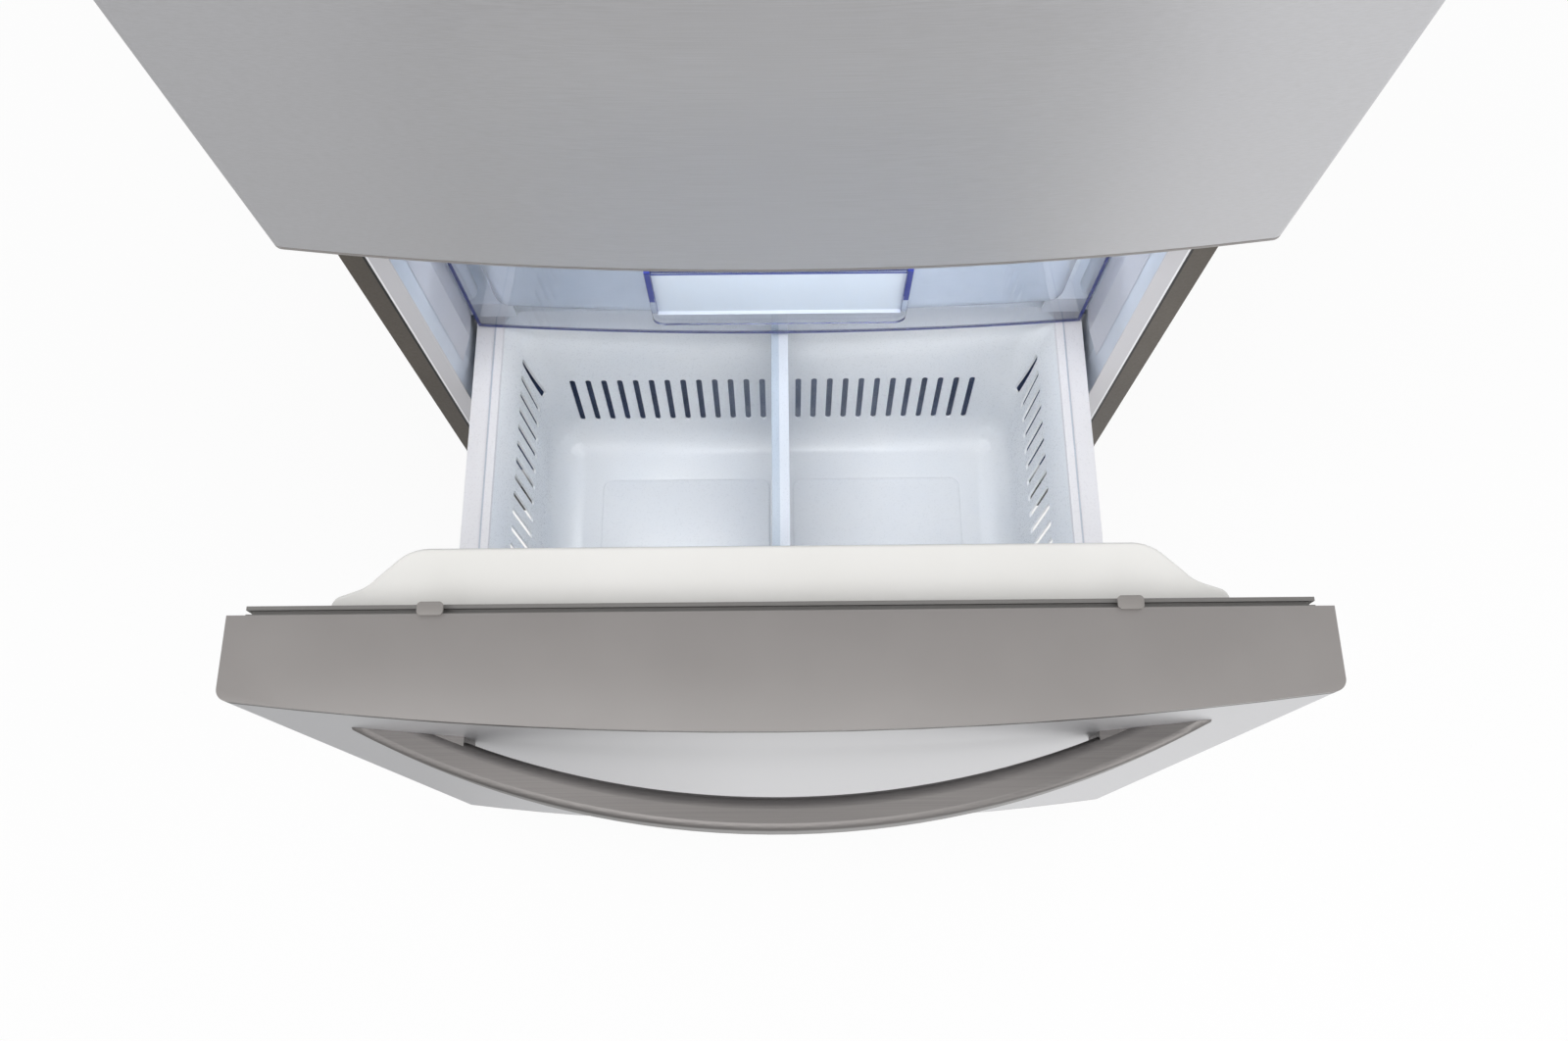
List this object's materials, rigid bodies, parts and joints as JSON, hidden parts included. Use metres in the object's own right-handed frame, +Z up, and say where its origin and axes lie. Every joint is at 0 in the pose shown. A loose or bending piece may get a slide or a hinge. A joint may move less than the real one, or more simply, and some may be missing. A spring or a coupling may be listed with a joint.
{
  "type": "fridge freezer",
  "caption": "Upright fridge freezer with a bowed stainless upper door and a pull-out freezer drawer that carries a slotted, divided basket and a clear inner drawer.",
  "frame": {"origin": "on the floor, under the middle of the whole object as drawn, with the freezer drawer pulled out", "axes": "+Z up, +Y to the back, +X to the right seen from the front; the doors face -Y"},
  "size_m": [0.756, 1.1879, 1.75],
  "materials": {
    "painted_steel": "satin",
    "stainless": "satin",
    "liner_plastic": "gloss",
    "dike_plastic": "satin",
    "foam": "matte",
    "cap_plastic": "satin",
    "gasket_rubber": "matte",
    "basket_plastic": "satin",
    "clear_plastic": "gloss",
    "shelf_glass": "gloss",
    "zinc_steel": "satin",
    "rack_plastic": "satin",
    "galvanised_steel": "matte",
    "black_enamel": "satin",
    "coil_aluminium": "satin",
    "dark_plastic": "matte",
    "lamp_lens": "gloss"
  },
  "bodies": {
    "cabinet": {"outer_case": "painted_steel", "back_panel": "galvanised_steel", "insulation": "foam", "fridge_liner": "liner_plastic", "freezer_liner": "liner_plastic", "mullion_rail": "painted_steel", "base_frame": "galvanised_steel", "kick_grille": "dark_plastic", "upper_hinge": "zinc_steel", "hinge_cover": "cap_plastic", "middle_hinge": "zinc_steel", "compressor": "black_enamel", "condenser_coil": "coil_aluminium", "drain_pan": "rack_plastic", "condenser_fan_motor": "dark_plastic", "rear_cover": "galvanised_steel", "evaporator_coil": "coil_aluminium", "evaporator_cover": "liner_plastic", "air_tower": "liner_plastic", "lamp_lenses": "lamp_lens", "control_panel": "liner_plastic", "shelf_panes": "shelf_glass", "shelf_edges": "liner_plastic", "slide_outer_members": "zinc_steel", "gear_racks": "rack_plastic", "inner_drawer_rails": "liner_plastic"},
    "fridge_door": {"door_skin": "stainless", "door_core": "foam", "door_top_cap": "cap_plastic", "door_bottom_cap": "cap_plastic", "door_liner": "dike_plastic", "door_gasket": "gasket_rubber", "door_bins": "clear_plastic", "dairy_bin": "clear_plastic", "door_handle": "stainless"},
    "dairy_lid": {"dairy_lid": "clear_plastic"},
    "freezer_drawer": {"drawer_skin": "stainless", "drawer_core": "foam", "drawer_top_cap": "cap_plastic", "drawer_bottom_cap": "cap_plastic", "drawer_liner": "dike_plastic", "drawer_gasket": "gasket_rubber", "gasket_clips": "cap_plastic", "drawer_handle": "stainless", "basket": "basket_plastic", "basket_divider": "basket_plastic", "drawer_rails": "zinc_steel"},
    "slide_middles": {"slide_middle_members": "zinc_steel"},
    "gear_shaft": {"gear_shaft": "zinc_steel"},
    "inner_drawer": {"inner_drawer_front": "clear_plastic", "inner_drawer_tray": "clear_plastic"},
    "crisper_left": {"crisper_left": "clear_plastic"},
    "crisper_right": {"crisper_right": "clear_plastic"},
    "condenser_fan": {"condenser_fan": "dark_plastic"},
    "evaporator_fan": {"evaporator_fan": "dark_plastic"},
    "roller_left": {"roller_left": "dark_plastic"},
    "roller_right": {"roller_right": "dark_plastic"},
    "leg_left": {"leg_left": "dark_plastic"},
    "leg_right": {"leg_right": "dark_plastic"}
  },
  "joints": [
    {"name": "fridge_door_hinge", "type": "hinge", "parent": "cabinet", "child": "fridge_door", "pos_m": [0.356, -0.154, 1.244], "axis": [0, 0, 1], "range_deg": [0, 130]},
    {"name": "freezer_drawer_slide", "type": "slide", "parent": "cabinet", "child": "freezer_drawer", "axis": [0, -1, 0], "range_m": [-0.338, 0.1]},
    {"name": "slide_middles_slide", "type": "slide", "parent": "cabinet", "child": "slide_middles", "axis": [0, -1, 0], "range_m": [-0.169, 0.05]},
    {"name": "gear_shaft_turn", "type": "hinge", "parent": "freezer_drawer", "child": "gear_shaft", "pos_m": [0, 0.061, 0.308], "axis": [1, 0, 0], "range_deg": [-1076, 319]},
    {"name": "inner_drawer_slide", "type": "slide", "parent": "cabinet", "child": "inner_drawer", "axis": [0, -1, 0], "range_m": [0, 0.28]},
    {"name": "crisper_left_slide", "type": "slide", "parent": "cabinet", "child": "crisper_left", "axis": [0, -1, 0], "range_m": [0, 0.28]},
    {"name": "crisper_right_slide", "type": "slide", "parent": "cabinet", "child": "crisper_right", "axis": [0, -1, 0], "range_m": [0, 0.28]},
    {"name": "dairy_lid_hinge", "type": "hinge", "parent": "fridge_door", "child": "dairy_lid", "pos_m": [0, -0.054, 1.607], "axis": [1, 0, 0], "range_deg": [0, 85]},
    {"name": "condenser_fan_spin", "type": "hinge", "parent": "cabinet", "child": "condenser_fan", "pos_m": [0.014, 0.476, 0.136], "axis": [1, 0, 0], "continuous": true},
    {"name": "evaporator_fan_spin", "type": "hinge", "parent": "cabinet", "child": "evaporator_fan", "pos_m": [0, 0.486, 0.65], "axis": [0, 1, 0], "continuous": true},
    {"name": "roller_left_spin", "type": "hinge", "parent": "cabinet", "child": "roller_left", "pos_m": [-0.318, 0.524, 0.016], "axis": [1, 0, 0], "continuous": true},
    {"name": "roller_right_spin", "type": "hinge", "parent": "cabinet", "child": "roller_right", "pos_m": [0.318, 0.524, 0.016], "axis": [1, 0, 0], "continuous": true},
    {"name": "leg_left_turn", "type": "hinge", "parent": "cabinet", "child": "leg_left", "pos_m": [-0.33, -0.062, 0.02], "axis": [0, 0, 1], "continuous": true},
    {"name": "leg_right_turn", "type": "hinge", "parent": "cabinet", "child": "leg_right", "pos_m": [0.33, -0.062, 0.02], "axis": [0, 0, 1], "continuous": true}
  ],
  "couplings": [
    {"joint": "slide_middles_slide", "follows": "freezer_drawer_slide", "ratio": 0.5},
    {"joint": "gear_shaft_turn", "follows": "freezer_drawer_slide", "rad_per_m": 55.556},
    {"joint": "crisper_left_slide", "follows": "fridge_door_hinge", "m_per_rad": 0.12},
    {"joint": "crisper_right_slide", "follows": "fridge_door_hinge", "m_per_rad": 0.12}
  ]
}
